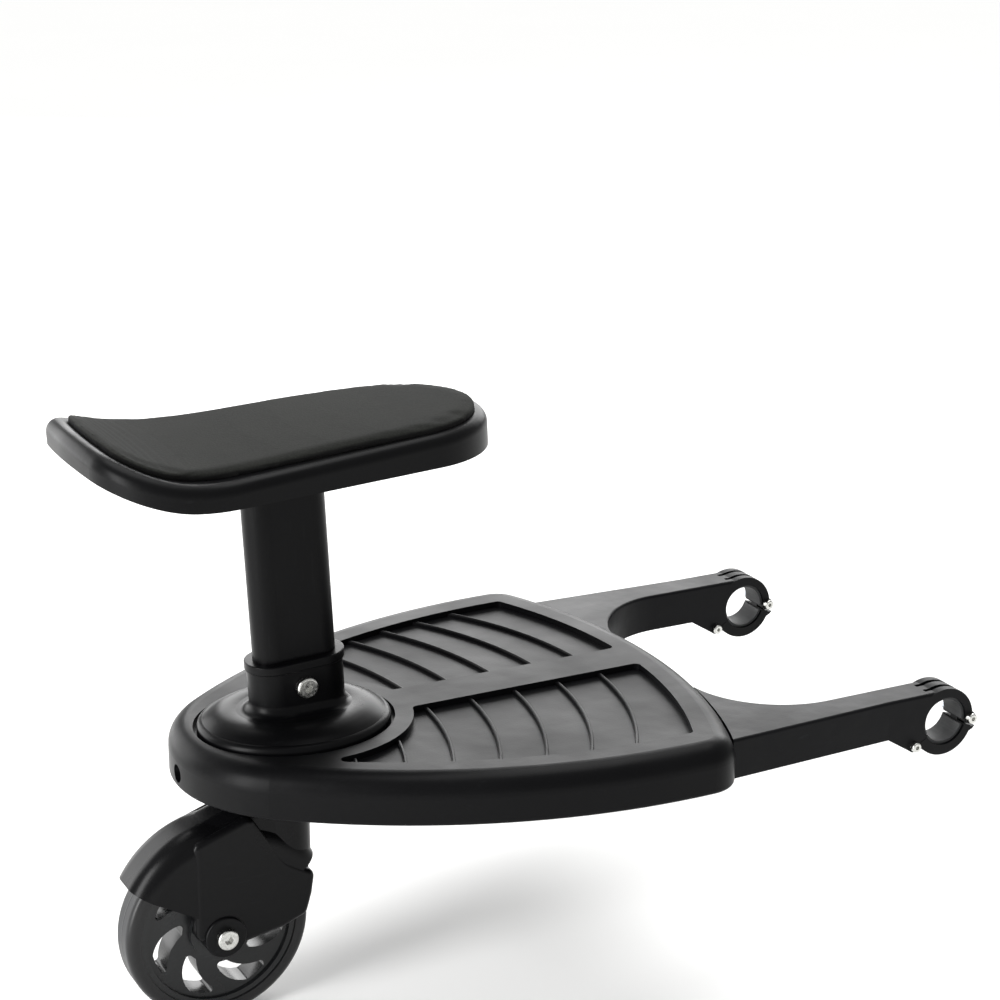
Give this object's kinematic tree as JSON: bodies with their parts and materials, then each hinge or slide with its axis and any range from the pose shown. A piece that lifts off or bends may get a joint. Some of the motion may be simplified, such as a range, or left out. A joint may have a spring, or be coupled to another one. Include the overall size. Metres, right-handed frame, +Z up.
{
  "type": "buggy board",
  "caption": "Ride-on board that clamps behind a pushchair: ribbed standing deck on a swivelling castor, forward clamp arms and a saddle seat on a leaning post.",
  "frame": {"origin": "middle of the whole board's footprint, on the ground under the castor wheel", "axes": "+X forward, the way the arms point to the pushchair; +Y to the board's left; +Z up"},
  "size_m": [0.5824, 0.328, 0.4028],
  "materials": {
    "deck_plastic": "satin black moulded polypropylene",
    "clamp_plastic": "satin black moulded nylon",
    "liner_rubber": "matte dark rubber",
    "socket_plastic": "half-gloss black moulding",
    "post_coat": "black powder coat on an aluminium tube",
    "seat_plastic": "satin black moulding",
    "pad_foam": "matte dark grey foam with a fine cloth skin",
    "fork_plastic": "gloss black moulding",
    "wheel_plastic": "gloss black moulding",
    "tyre_rubber": "smooth black polyurethane",
    "bright_steel": "bright plated socket screws",
    "zinc_steel": "zinc plated steel",
    "bearing_steel": "ground bearing steel",
    "spacer_alloy": "turned aluminium"
  },
  "bodies": {
    "board": {"deck": "deck_plastic", "left_arm": "deck_plastic", "right_arm": "deck_plastic", "left_upper_liner": "liner_rubber", "right_upper_liner": "liner_rubber", "arm_bolts": "zinc_steel", "jaw_hinge_screws": "bright_steel", "jaw_lock_screws": "bright_steel", "jaw_screw_nuts": "zinc_steel", "seat_socket": "socket_plastic", "socket_screws": "zinc_steel", "seat_post": "post_coat", "post_bolt": "bright_steel", "post_nut": "zinc_steel", "post_plug": "clamp_plastic", "seat_shell": "seat_plastic", "seat_screws": "zinc_steel", "seat_pad": "pad_foam", "swivel_bolt": "zinc_steel", "swivel_washers": "zinc_steel", "swivel_spacer": "spacer_alloy", "swivel_nut": "zinc_steel"},
    "castor": {"fork": "fork_plastic", "swivel_bearings": "bearing_steel", "axle_bolt": "bright_steel", "axle_nut": "zinc_steel", "axle_spacers": "spacer_alloy", "bearing_spacer": "spacer_alloy"},
    "wheel": {"wheel_core": "wheel_plastic", "tyre": "tyre_rubber", "wheel_bearings": "bearing_steel"},
    "left_jaw": {"left_jaw": "clamp_plastic", "left_lower_liner": "liner_rubber"},
    "right_jaw": {"right_jaw": "clamp_plastic", "right_lower_liner": "liner_rubber"}
  },
  "joints": [
    {"name": "castor_swivel", "type": "hinge", "parent": "board", "child": "castor", "pos_m": [-0.16165, 0, 0.159], "axis": [0, 0, 1], "continuous": true},
    {"name": "wheel_spin", "type": "hinge", "parent": "castor", "child": "wheel", "pos_m": [-0.20915, 0, 0.062], "axis": [0, 1, 0], "continuous": true},
    {"name": "left_jaw_hinge", "type": "hinge", "parent": "board", "child": "left_jaw", "pos_m": [0.24135, 0.125, 0.1496], "axis": [0, 1, 0], "range_deg": [0, 85]},
    {"name": "right_jaw_hinge", "type": "hinge", "parent": "board", "child": "right_jaw", "pos_m": [0.24135, -0.125, 0.1496], "axis": [0, 1, 0], "range_deg": [0, 85]}
  ]
}
